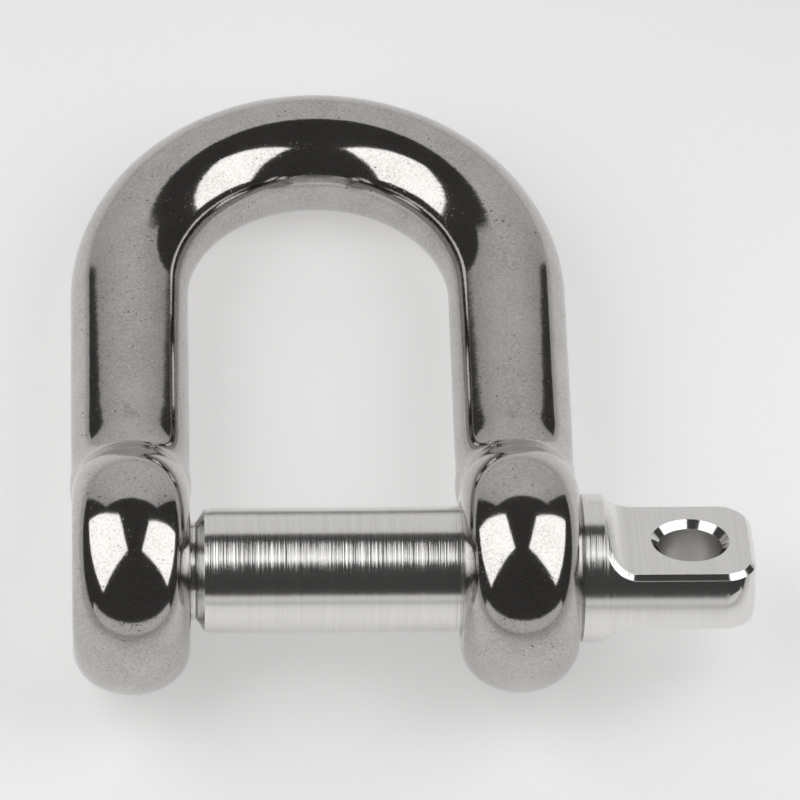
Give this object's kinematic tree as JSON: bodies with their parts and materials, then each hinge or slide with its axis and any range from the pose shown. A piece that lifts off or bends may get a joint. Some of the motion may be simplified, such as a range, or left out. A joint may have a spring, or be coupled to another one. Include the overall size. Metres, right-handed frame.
{
  "type": "dee shackle",
  "caption": "Dee shackle: a round bar bent to a dee with rounded eyes, closed by a screw pin whose collar ends in a flat tab with a round hole.",
  "frame": {"origin": "on the pin's axis, midway between the two eyes", "axes": "+X along the pin, from the tapped eye to the tab; +Y from the pin to the crown of the bow; +Z square to the plane of the dee"},
  "size_m": [0.0435, 0.0461, 0.0158],
  "materials": {
    "forged_steel": "forged stainless steel, barrel-polished to a near mirror, with fine pits",
    "turned_steel": "stainless steel, bright turned, with milled flats"
  },
  "bodies": {
    "bow": {"shackle_body": "forged_steel"},
    "pin": {"screw_pin": "turned_steel"}
  },
  "joints": [
    {"name": "pin_withdraw", "type": "slide", "parent": "bow", "child": "pin", "axis": [1, 0, 0], "range_m": [0, 0.034]}
  ]
}
